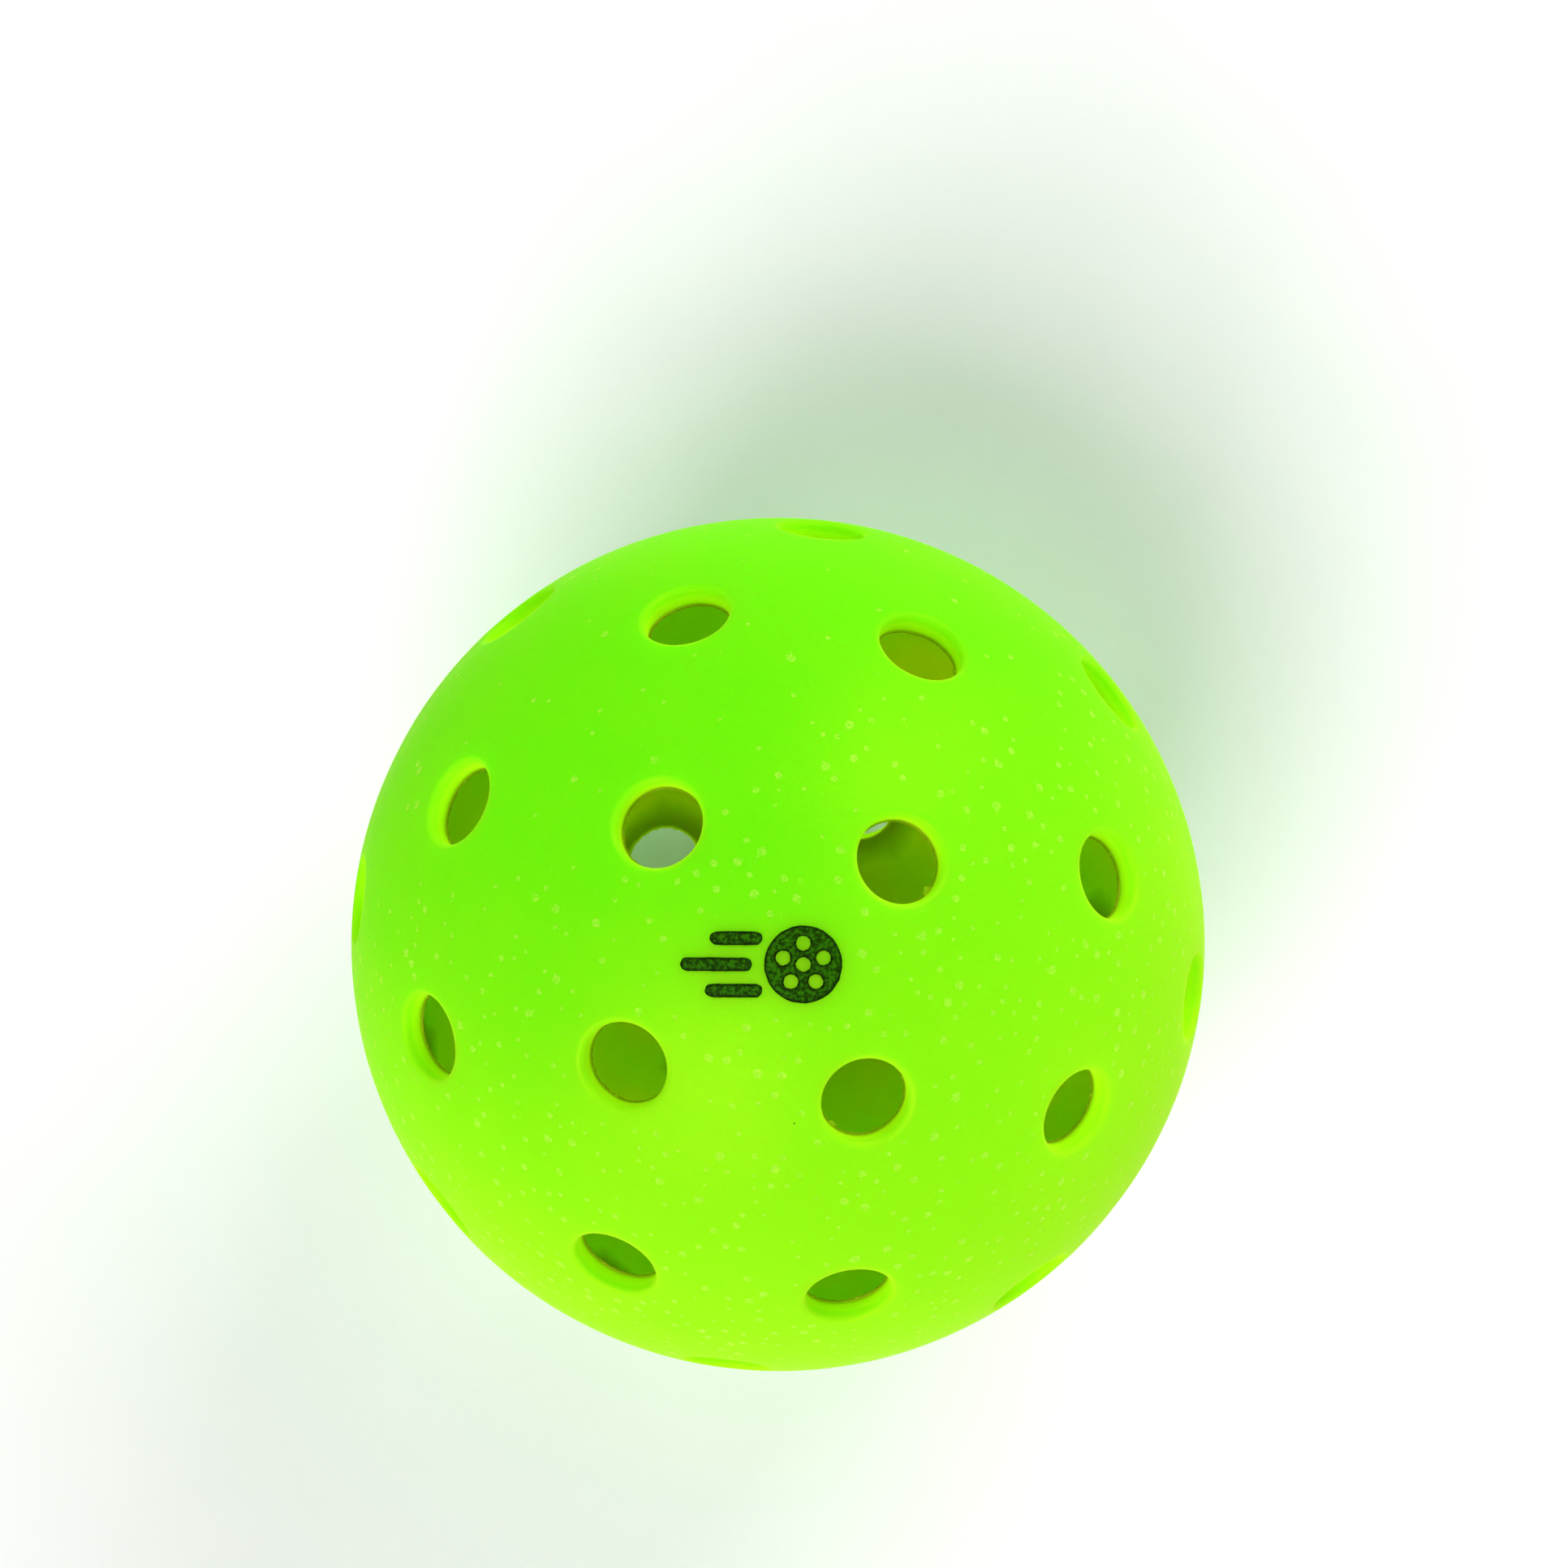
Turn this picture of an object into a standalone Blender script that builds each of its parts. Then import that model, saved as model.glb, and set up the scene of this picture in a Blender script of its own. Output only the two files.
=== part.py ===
"""A perforated plastic court ball: two moulded half shells, lapped and welded at the equator,
with a small printed mark on the upper pole.

Frame: the origin is the ball's centre and +Z is the pole axis, from the plain lower half to the
upper half, which carries the mark. Angles round the axis are counted from +X towards +Y.
"""

import math

import bmesh
import bpy
from mathutils import Matrix, Vector

# ---------------------------------------------------------------- driving dimensions, in metres
BALL_RADIUS = 0.0370
WALL = 0.00185
CLEARANCE = 0.0003  # between pieces that touch on the real ball

HOLE_DIAMETER = 0.0072
HOLE_EDGE_ROUND = 0.0005  # radius that softens the outer edge of each hole

LAP_HEIGHT = 0.0012  # how far the upper half's inner lip reaches past the equator

INK_FILM = 0.0002
MARK_BALL_DIAMETER = 0.0062
MARK_DIMPLE_DIAMETER = 0.0012
MARK_DIMPLE_CIRCLE = 0.0034  # the circle that the outer dimples' centres lie on
MARK_BAR_WIDTH = 0.0011
MARK_BAR_PITCH = 0.0021
MARK_BAR_LENGTHS = (0.0042, 0.0058, 0.0046)  # upper, middle, lower
MARK_SPACING = 0.0010  # from the bars' ends to the printed ball

MARK_DIMPLES_ROUND = 5  # evenly on that circle, with one more dimple in its middle

# ---------------------------------------------------------------- the hole pattern, in degrees
HOLES_PER_FAMILY = 4  # evenly round the axis
SQUARE_TURN = 36.8  # where the first hole of the upper pole's square of four lies
# Each family is one hole, repeated evenly round the axis: its angle from the pole, and its turn
# past the square's hole.
HOLE_FAMILIES = (
    (22.3, 0.0),
    (51.9, -23.3),
    (50.9, 26.7),
    (77.5, 0.6),
    (77.5, 46.7),
)
# The lower half is the upper half turned over about an axis across the ball, at this turn past
# the square's hole, so that the two rows beside the equator stand between each other's holes.
TURN_OVER_AXIS = 13.0

# ---------------------------------------------------------------- fineness of the meshes
SHELL_SEGMENTS = 48
SHELL_STEPS = 12
HOLE_SEGMENTS = 20
HOLE_ROUND_STEPS = 2
CUTTER_REACH = 0.0025  # how far a hole cutter runs past the wall, each way
INK_STEP = 0.0008  # longest stretch of ink that is left flat
BAR_ROWS = 5  # rows of points across a printed bar
SHARP_ANGLE = 35.0  # degrees between two faces, past which their edge is shaded sharp
ON_AXIS = 1e-9  # a distance from an axis that counts as none

# ---------------------------------------------------------------- the two materials
SHELL_COLOUR = (0.22, 0.90, 0.02)
SHELL_ROUGHNESS = 0.42
INK_COLOUR = (0.03, 0.16, 0.01)
INK_ROUGHNESS = 0.50

MID_WALL_RADIUS = BALL_RADIUS - WALL / 2
INNER_RADIUS = BALL_RADIUS - WALL


def clear_scene():
    for thing in list(bpy.data.objects):
        bpy.data.objects.remove(thing, do_unlink=True)


def plastic(name, colour, roughness):
    material = bpy.data.materials.new(name)
    material.use_nodes = True
    surface = material.node_tree.nodes["Principled BSDF"]
    surface.inputs["Base Color"].default_value = (*colour, 1.0)
    surface.inputs["Roughness"].default_value = roughness
    surface.inputs["Metallic"].default_value = 0.0
    return material


def add_object(name, shape, material, parent):
    """Turns a bmesh into a smooth-shaded object that hangs on parent."""
    bmesh.ops.recalc_face_normals(shape, faces=shape.faces)
    mesh = bpy.data.meshes.new(name)
    shape.to_mesh(mesh)
    shape.free()
    mesh.shade_smooth()
    mesh.set_sharp_from_angle(angle=math.radians(SHARP_ANGLE))
    thing = bpy.data.objects.new(name, mesh)
    thing.parent = parent
    if material:
        mesh.materials.append(material)
    bpy.context.scene.collection.objects.link(thing)
    return thing


def add_cutter(name, shape, parent):
    """Turns a bmesh into a hidden object that only cuts others."""
    cutter = add_object(name, shape, None, parent)
    cutter.hide_render = True
    cutter.display_type = "WIRE"
    return cutter


def turn_to(shape, verts, towards):
    """Turns vertices about the ball's centre, so that what points along +Z points towards."""
    aim = Vector((0, 0, 1)).rotation_difference(towards).to_matrix()
    bmesh.ops.rotate(shape, verts=verts, cent=(0, 0, 0), matrix=aim)


def circle(centre, radius, count, start=0.0):
    """Flat points, evenly spaced from an angle in degrees."""
    turns = [math.radians(start + 360.0 * step / count) for step in range(count)]
    return [(centre[0] + radius * math.cos(t), centre[1] + radius * math.sin(t)) for t in turns]


def lathe(shape, profile, segments):
    """Adds the closed body that a profile of (radius, height) points sweeps round +Z.

    The profile starts and ends on the axis or closes on itself. Returns the new vertices.
    """
    rings = []
    for radius, height in profile:
        points = circle((0.0, 0.0), radius, segments) if radius > ON_AXIS else [(0.0, 0.0)]
        rings.append([shape.verts.new((x, y, height)) for x, y in points])
    pairs = list(zip(rings, rings[1:]))
    if len(rings[0]) > 1:
        pairs.append((rings[-1], rings[0]))
    for low, high in pairs:
        for step in range(segments):
            after = (step + 1) % segments
            corners = [low[step % len(low)], low[after % len(low)]]
            corners += [high[after % len(high)], high[step % len(high)]]
            around = list(dict.fromkeys(corners))
            if len(around) > 2:
                shape.faces.new(around)
    return [vertex for ring in rings for vertex in ring]


def arc(radius, start, end, steps):
    """Points (radius, height) on a circle about the origin, between two angles from the axis."""
    angles = [start + (end - start) * step / steps for step in range(steps + 1)]
    return [(radius * math.sin(a), radius * math.cos(a)) for a in angles]


def angle_at_height(radius, height):
    return math.acos(height / radius)


# ---------------------------------------------------------------- the half shells
def lipped_profile():
    """Pole at +Z, with the inner lip of the lap reaching below the equator."""
    rim = CLEARANCE / 2
    lip_radius = MID_WALL_RADIUS - CLEARANCE / 2
    outer = arc(BALL_RADIUS, 0.0, angle_at_height(BALL_RADIUS, rim), SHELL_STEPS)
    inner_end = angle_at_height(INNER_RADIUS, -LAP_HEIGHT)
    inner = arc(INNER_RADIUS, inner_end, 0.0, SHELL_STEPS)
    return outer + [(lip_radius, rim), (lip_radius, -LAP_HEIGHT)] + inner


def recessed_profile():
    """Pole at +Z, with the recess that the upper half's lip goes into."""
    rim = CLEARANCE / 2
    floor = LAP_HEIGHT + CLEARANCE
    recess_radius = MID_WALL_RADIUS + CLEARANCE / 2
    outer = arc(BALL_RADIUS, 0.0, angle_at_height(BALL_RADIUS, rim), SHELL_STEPS)
    inner = arc(INNER_RADIUS, angle_at_height(INNER_RADIUS, floor), 0.0, SHELL_STEPS)
    return outer + [(recess_radius, rim), (recess_radius, floor)] + inner


def hole_profile():
    """A straight drill with a flared mouth, along +Z from the ball's centre."""
    radius = HOLE_DIAMETER / 2
    mouth = radius + HOLE_EDGE_ROUND
    centre_height = math.sqrt((BALL_RADIUS - HOLE_EDGE_ROUND) ** 2 - mouth**2)
    lean = math.atan2(mouth, centre_height)
    start, end = -math.pi / 2, lean
    turns = [start + (end - start) * n / HOLE_ROUND_STEPS for n in range(HOLE_ROUND_STEPS + 1)]
    flare = [
        (mouth + HOLE_EDGE_ROUND * math.sin(t), centre_height + HOLE_EDGE_ROUND * math.cos(t))
        for t in turns
    ]
    bottom = math.sqrt(INNER_RADIUS**2 - radius**2) - CUTTER_REACH
    top = BALL_RADIUS + CUTTER_REACH
    return [(0.0, bottom), (radius, bottom)] + flare + [(flare[-1][0], top), (0.0, top)]


def direction(from_pole, around):
    """The unit vector at these angles, in degrees, from the upper pole and round the axis."""
    polar, turn = math.radians(from_pole), math.radians(around)
    across = math.sin(polar)
    return Vector((across * math.cos(turn), across * math.sin(turn), math.cos(polar)))


def upper_hole_directions():
    return [
        direction(from_pole, SQUARE_TURN + offset + 360.0 * place / HOLES_PER_FAMILY)
        for from_pole, offset in HOLE_FAMILIES
        for place in range(HOLES_PER_FAMILY)
    ]


def lower_hole_directions():
    axis = direction(90.0, SQUARE_TURN + TURN_OVER_AXIS)
    turned_over = Matrix.Rotation(math.pi, 3, axis)
    return [turned_over @ towards for towards in upper_hole_directions()]


def hole_cutter(name, directions, parent):
    """One cutter object that holds a flared drill for each direction."""
    shape = bmesh.new()
    profile = hole_profile()
    for towards in directions:
        turn_to(shape, lathe(shape, profile, HOLE_SEGMENTS), towards)
    return add_cutter(name, shape, parent)


def cut(thing, cutter):
    boolean = thing.modifiers.new("holes", "BOOLEAN")
    boolean.operation = "DIFFERENCE"
    boolean.solver = "EXACT"
    boolean.object = cutter


def half_shell(name, profile, pole, directions, material, parent):
    shape = bmesh.new()
    turn_to(shape, lathe(shape, profile, SHELL_SEGMENTS), pole)
    half = add_object(name, shape, material, parent)
    cut(half, hole_cutter(f"{name}_hole_cutter", directions, parent))
    return half


# ---------------------------------------------------------------- the printed mark
def onto_ball(across, up, radius):
    """Wraps a point of the flat mark round the upper pole, at its true distance from the pole."""
    reach = math.hypot(across, up)
    if reach < ON_AXIS:
        return Vector((0, 0, radius))
    polar = reach / BALL_RADIUS
    side = math.sin(polar) * radius / reach
    return Vector((across * side, up * side, math.cos(polar) * radius))


def ink_body(name, rows, material, parent):
    """A film between two wrapped layers of the same grid of flat points, closed at its edge."""
    shape = bmesh.new()
    under = BALL_RADIUS + CLEARANCE
    sheets = [
        [[shape.verts.new(onto_ball(x, y, radius)) for x, y in row] for row in rows]
        for radius in (under, under + INK_FILM)
    ]
    for sheet in sheets:
        for row, after in zip(sheet, sheet[1:]):
            for n in range(len(row) - 1):
                shape.faces.new((row[n], row[n + 1], after[n + 1], after[n]))
    loops = [
        sheet[0] + [row[-1] for row in sheet[1:-1]] + sheet[-1][::-1]
        + [row[0] for row in sheet[-2:0:-1]]
        for sheet in sheets
    ]
    for n, corner in enumerate(loops[0]):
        beside = (n + 1) % len(loops[0])
        shape.faces.new((corner, loops[0][beside], loops[1][beside], loops[1][n]))
    return add_object(name, shape, material, parent)


def bar_rows(right_end, height, length):
    """A bar with round ends, as rows of points that run along it."""
    half_width = MARK_BAR_WIDTH / 2
    along_steps = math.ceil(length / INK_STEP)
    rows = []
    for row in range(BAR_ROWS):
        up = half_width * math.cos(math.pi * (row + 0.5) / BAR_ROWS)
        round_end = math.sqrt(half_width**2 - up**2)
        start = right_end - length + half_width - round_end
        reach = length - 2 * (half_width - round_end)
        rows.append([(start + reach * n / along_steps, height + up) for n in range(along_steps + 1)])
    return rows


def ink_disc(name, centre, radius, material, parent):
    """A round film, wrapped on the ball about a point of the flat mark."""
    shape = bmesh.new()
    under = BALL_RADIUS + CLEARANCE
    rings = math.ceil(radius / INK_STEP)
    layers = []
    for level in (under, under + INK_FILM):
        middle = shape.verts.new(onto_ball(*centre, level))
        layer = [[middle] * HOLE_SEGMENTS]
        for ring in range(1, rings + 1):
            flat = circle(centre, radius * ring / rings, HOLE_SEGMENTS)
            layer.append([shape.verts.new(onto_ball(x, y, level)) for x, y in flat])
        layers.append(layer)
    edges = [(layer[n], layer[n + 1]) for layer in layers for n in range(rings)]
    edges.append((layers[0][-1], layers[1][-1]))
    for inside, outside in edges:
        for n in range(HOLE_SEGMENTS):
            after = (n + 1) % HOLE_SEGMENTS
            around = (inside[n], inside[after], outside[after], outside[n])
            shape.faces.new(list(dict.fromkeys(around)))
    return add_object(name, shape, material, parent)


def dimple_cutter(name, centre, parent):
    """Drills the clear dimples out of the printed ball: one in its middle and a ring round it."""
    shape = bmesh.new()
    places = [centre] + circle(centre, MARK_DIMPLE_CIRCLE / 2, MARK_DIMPLES_ROUND, start=90.0)
    radius = MARK_DIMPLE_DIAMETER / 2
    low, high = BALL_RADIUS - CUTTER_REACH, BALL_RADIUS + CLEARANCE + INK_FILM + CUTTER_REACH
    profile = [(0.0, low), (radius, low), (radius, high), (0.0, high)]
    for x, y in places:
        turn_to(shape, lathe(shape, profile, HOLE_SEGMENTS), onto_ball(x, y, 1.0))
    return add_cutter(name, shape, parent)


def printed_mark(material, parent):
    """A plain pictogram of a ball in flight: a dimpled disc with three bars behind it."""
    whole_width = max(MARK_BAR_LENGTHS) + MARK_SPACING + MARK_BALL_DIAMETER
    disc_x = (whole_width - MARK_BALL_DIAMETER) / 2
    disc = ink_disc("mark_ball", (disc_x, 0.0), MARK_BALL_DIAMETER / 2, material, parent)
    cut(disc, dimple_cutter("mark_dimple_cutter", (disc_x, 0.0), parent))
    for row, (place, length) in enumerate(zip(("upper", "middle", "lower"), MARK_BAR_LENGTHS)):
        height = (1 - row) * MARK_BAR_PITCH
        ball_reach = math.sqrt((MARK_BALL_DIAMETER / 2) ** 2 - height**2)
        right_end = disc_x - ball_reach - MARK_SPACING
        rows = bar_rows(right_end, height, length)
        ink_body(f"mark_bar_{place}", rows, material, parent)


def build():
    clear_scene()
    shell = plastic("shell_plastic", SHELL_COLOUR, SHELL_ROUGHNESS)
    ink = plastic("dark_green_ink", INK_COLOUR, INK_ROUGHNESS)

    ball = bpy.data.objects.new("ball", None)
    bpy.context.scene.collection.objects.link(ball)

    up, down = Vector((0, 0, 1)), Vector((0, 0, -1))
    half_shell("upper_half", lipped_profile(), up, upper_hole_directions(), shell, ball)
    half_shell("lower_half", recessed_profile(), down, lower_hole_directions(), shell, ball)
    printed_mark(ink, ball)


build()
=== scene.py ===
"""The looks of a perforated plastic court ball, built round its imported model.

The origin is the ball's centre and +Z is its pole axis, from the plain lower half to the upper
half, which carries the printed mark. Lengths are in metres, and angles round the axis are counted
from +X towards +Y.
"""

import logging
import math
from dataclasses import dataclass
from enum import Enum
from typing import Any, Callable

import bmesh
import bpy
import numpy as np
from mathutils import Matrix, Vector
from mathutils.geometry import delaunay_2d_cdt


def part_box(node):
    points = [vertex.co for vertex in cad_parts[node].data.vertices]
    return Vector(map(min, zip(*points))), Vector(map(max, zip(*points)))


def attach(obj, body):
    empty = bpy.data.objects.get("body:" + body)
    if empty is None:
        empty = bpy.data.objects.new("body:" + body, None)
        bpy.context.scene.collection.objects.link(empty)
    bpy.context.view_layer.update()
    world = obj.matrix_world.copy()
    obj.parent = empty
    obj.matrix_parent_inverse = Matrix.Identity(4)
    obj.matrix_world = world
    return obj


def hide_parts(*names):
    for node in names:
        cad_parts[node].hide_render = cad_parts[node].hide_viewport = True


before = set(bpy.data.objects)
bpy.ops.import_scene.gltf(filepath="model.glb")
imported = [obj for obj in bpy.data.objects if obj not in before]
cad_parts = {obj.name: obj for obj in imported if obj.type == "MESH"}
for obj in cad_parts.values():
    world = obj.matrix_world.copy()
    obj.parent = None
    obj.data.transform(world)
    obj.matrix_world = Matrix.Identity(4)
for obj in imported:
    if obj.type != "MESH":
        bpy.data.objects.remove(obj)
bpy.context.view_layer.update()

Colour = tuple[float, float, float, float]
Triple = tuple[float, float, float]
Socket = bpy.types.NodeSocket

MM = 0.001
BODY = "root"
WHOLE_TURN = 2.0 * math.pi
log = logging.getLogger("court_ball")


class Half(Enum):
    """The two half shells, by the name of their node."""

    UPPER = "upper_half"
    LOWER = "lower_half"


class Slot(Enum):
    """The material slots."""

    SHELL = "shell"
    INK = "ink"


# ---------------------------------------------------------------- directions and meshes
def unit(vectors: np.ndarray) -> np.ndarray:
    """Gives vectors a length of one.

    Args:
        vectors: one vector, or rows of them.

    Returns:
        The same directions, with a length of one.
    """
    return vectors / np.linalg.norm(vectors, axis=-1, keepdims=True)


def smooth_step(values: np.ndarray, low: float, high: float) -> np.ndarray:
    """Rises smoothly from 0 at low to 1 at high.

    Args:
        values: the numbers to shape.
        low: where the rise starts.
        high: where the rise ends.

    Returns:
        Numbers from 0 to 1.
    """
    share = np.clip((values - low) / (high - low), 0.0, 1.0)
    return share * share * (3.0 - 2.0 * share)


def even_turns(count: int) -> np.ndarray:
    """Angles that divide a whole turn into this many equal parts."""
    return WHOLE_TURN * np.arange(count) / count


def round_the_axis(polar: float, count: int) -> np.ndarray:
    """Even directions on a circle round +Z.

    Args:
        polar: the angle from +Z, in radians.
        count: how many directions.

    Returns:
        One unit vector to a row.
    """
    turns = even_turns(count)
    across = math.sin(polar)
    height = np.full(count, math.cos(polar))
    return np.stack([across * np.cos(turns), across * np.sin(turns), height], axis=1)


def spiral_cover(radius: float, spacing: float, lowest: float) -> np.ndarray:
    """Evenly spread directions over a sphere, down to a height.

    Args:
        radius: the sphere's radius.
        spacing: the usual distance between neighbours.
        lowest: the lowest height that is covered.

    Returns:
        One unit vector to a row.
    """
    cell = 0.87 * spacing**2
    golden_turn = math.pi * (1.0 + math.sqrt(5.0))
    count = int(4.0 * math.pi * radius**2 / cell)
    steps = np.arange(count) + 0.5
    heights = 1.0 - 2.0 * steps / count
    turns = golden_turn * steps
    across = np.sqrt(1.0 - heights**2)
    points = np.stack([across * np.cos(turns), across * np.sin(turns), heights], axis=1)
    return points[heights * radius > lowest]


def cover_between(loops: list[np.ndarray], loose: np.ndarray) -> np.ndarray:
    """Lays triangles over flat points, so that closed loops of edges are kept.

    Args:
        loops: the points of each closed loop, one to a row.
        loose: the points that lie on no loop.

    Returns:
        Triangles, as rows of three indices into the loops' points and then the loose ones.
    """
    edges = []
    start = 0
    for loop in loops:
        places = np.arange(len(loop))
        edges += list(zip((start + places).tolist(), (start + np.roll(places, -1)).tolist()))
        start += len(loop)
    flat = [Vector(point) for point in np.concatenate(loops + [loose]).tolist()]
    whole_hull, merge_within = 0, 1e-9
    _, _, faces, origins, _, _ = delaunay_2d_cdt(flat, edges, [], whole_hull, merge_within, True)
    return np.array([[origins[corner][0] for corner in face] for face in faces])


def add_to_scene(name: str, data: bpy.types.ID) -> bpy.types.Object:
    """Makes an object that holds a mesh, a light or a camera.

    Args:
        name: the object's name.
        data: what it holds.

    Returns:
        The new object, in the scene.
    """
    made = bpy.data.objects.new(name, data)
    bpy.context.scene.collection.objects.link(made)
    return made


@dataclass
class Waves:
    """A gentle random swell, as a sum of plane waves.

    Args:
        seed: chooses the waves.
        length: the usual wavelength.
        height: how far the swell goes either way.
        count: how many waves are added.
        spread: the least and the most waves to a wavelength that one of them has.
    """

    seed: int
    length: float
    height: float
    count: int = 14
    spread: tuple[float, float] = (0.7, 1.6)

    def __post_init__(self) -> None:
        """Draws the waves."""
        draw = np.random.default_rng(self.seed)
        finer = draw.uniform(*self.spread, (self.count, 1))
        self.pushes = unit(draw.normal(size=(self.count, 3))) * WHOLE_TURN / self.length * finer
        self.starts = draw.uniform(0.0, WHOLE_TURN, self.count)

    def at(self, points: np.ndarray) -> np.ndarray:
        """The swell at each point.

        Args:
            points: rows of three coordinates.

        Returns:
            One height for each row.
        """
        swell = np.sin(points @ self.pushes.T + self.starts).sum(axis=1)
        return swell * self.height / math.sqrt(self.count)


class MeshBook:
    """Collects points, faces and a few numbers at each point, and makes one closed object."""

    LAYERS = ("pit", "bore", "depth", "inner", "edge")
    SHARP_FROM = math.radians(40.0)

    def __init__(self) -> None:
        """Starts with nothing in it."""
        self.points: list[np.ndarray] = []
        self.values: dict[str, list[np.ndarray]] = {layer: [] for layer in self.LAYERS}
        self.faces: list[list[int]] = []
        self.count = 0

    def add(self, points: np.ndarray, **values: Any) -> np.ndarray:
        """Adds points.

        Args:
            points: rows of three coordinates.
            **values: a layer's number for all of them, or one for each.

        Returns:
            The indices of the new points.
        """
        self.points.append(points)
        for layer in self.LAYERS:
            self.values[layer].append(np.zeros(len(points)) + values.get(layer, 0.0))
        places = np.arange(self.count, self.count + len(points))
        self.count += len(points)
        return places

    def cover(self, triangles: np.ndarray) -> None:
        """Adds triangles, given as rows of three indices."""
        self.faces += triangles.tolist()

    def strip(self, one: np.ndarray, other: np.ndarray) -> None:
        """Joins two closed rings of equally many points by a band of four-sided faces."""
        band = np.stack([one, np.roll(one, -1), np.roll(other, -1), other], axis=1)
        self.faces += band.tolist()

    def sleeve(self, rings: list[np.ndarray]) -> None:
        """Joins each closed ring to the one after it."""
        for one, other in zip(rings, rings[1:]):
            self.strip(one, other)

    def finish(self, name: str, turn: Matrix | None = None) -> bpy.types.Object:
        """Makes the object.

        Args:
            name: the piece's name.
            turn: how to turn the whole piece about the ball's centre, if it is turned.

        Returns:
            The new object, in the scene.
        """
        mesh = bpy.data.meshes.new(name)
        mesh.from_pydata(np.concatenate(self.points).tolist(), [], self.faces)
        for layer in self.LAYERS:
            numbers = np.concatenate(self.values[layer]).astype(np.float32)
            if numbers.any():
                mesh.attributes.new(layer, "FLOAT", "POINT").data.foreach_set("value", numbers)
        shape = bmesh.new()
        shape.from_mesh(mesh)
        bmesh.ops.recalc_face_normals(shape, faces=shape.faces)
        shape.to_mesh(mesh)
        shape.free()
        if turn is not None:
            mesh.transform(turn)
        mesh.shade_smooth()
        mesh.set_sharp_from_angle(angle=self.SHARP_FROM)
        return add_to_scene(name, mesh)


# ---------------------------------------------------------------- finishes
def rgb(red: float, green: float, blue: float) -> Colour:
    """A colour with full cover."""
    return (red, green, blue, 1.0)


@dataclass(frozen=True)
class Dots:
    """Small round marks, scattered at random.

    Args:
        spacing: the usual distance between two places for a dot.
        radius: a dot's radius.
        share: how many of the places have one.
        strength: how strongly a dot shows.
    """

    spacing: float
    radius: float
    share: float
    strength: float


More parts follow.
